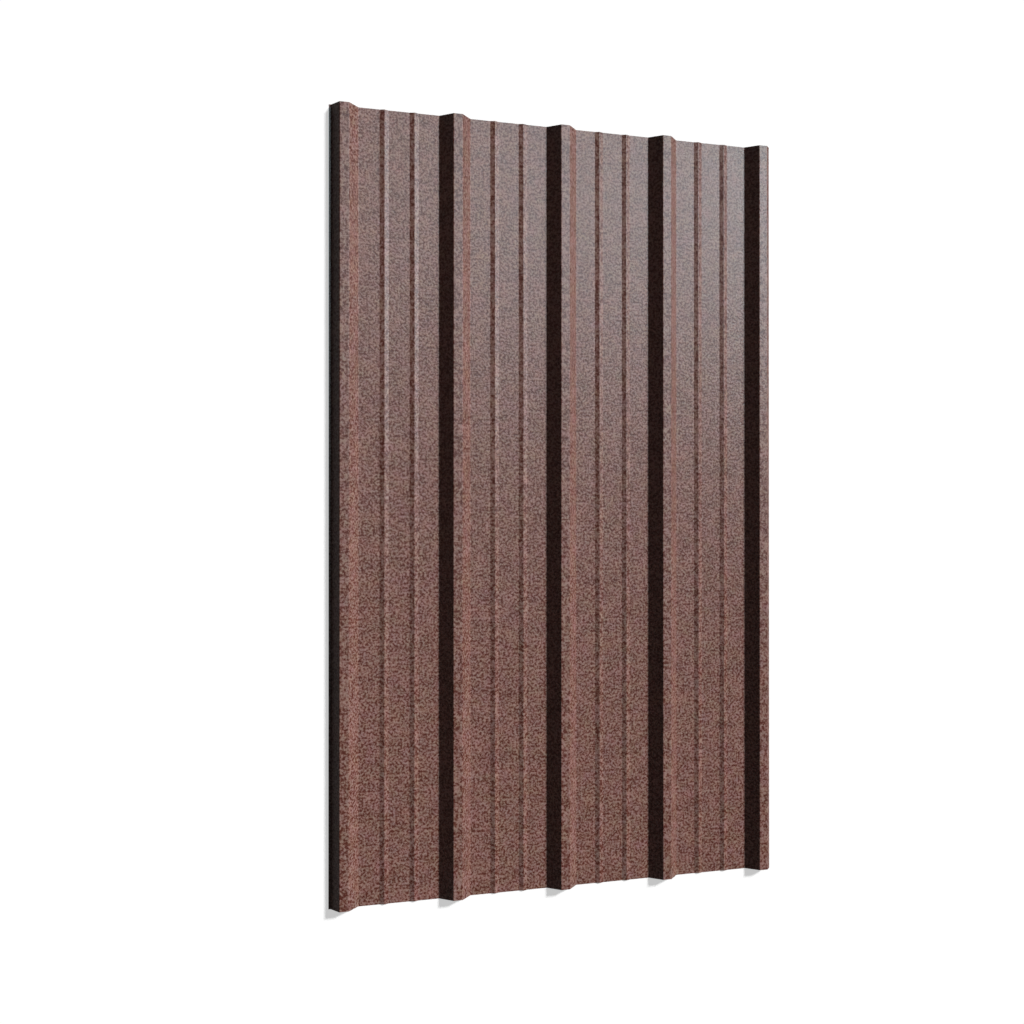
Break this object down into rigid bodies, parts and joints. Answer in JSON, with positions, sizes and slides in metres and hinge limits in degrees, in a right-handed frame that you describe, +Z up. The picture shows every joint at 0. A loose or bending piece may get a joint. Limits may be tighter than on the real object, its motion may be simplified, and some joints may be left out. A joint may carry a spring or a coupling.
{
  "type": "corrugated metal sheet",
  "caption": "Roll-formed steel cladding sheet with trapezoidal ribs, low beads in its flat pans and side edges that lap with the next sheet.",
  "frame": {"origin": "under the middle of the sheet, at the level of the pans' undersides", "axes": "+X across the ribs, towards the overlap edge; +Y along the ribs; +Z up, the side the ribs rise to"},
  "size_m": [1.0498, 1.715, 0.028],
  "materials": {
    "coated_steel": "matt, fine-grained dark brown coating"
  },
  "bodies": {
    "root": {"profiled_sheet": "coated_steel"}
  },
  "joints": []
}
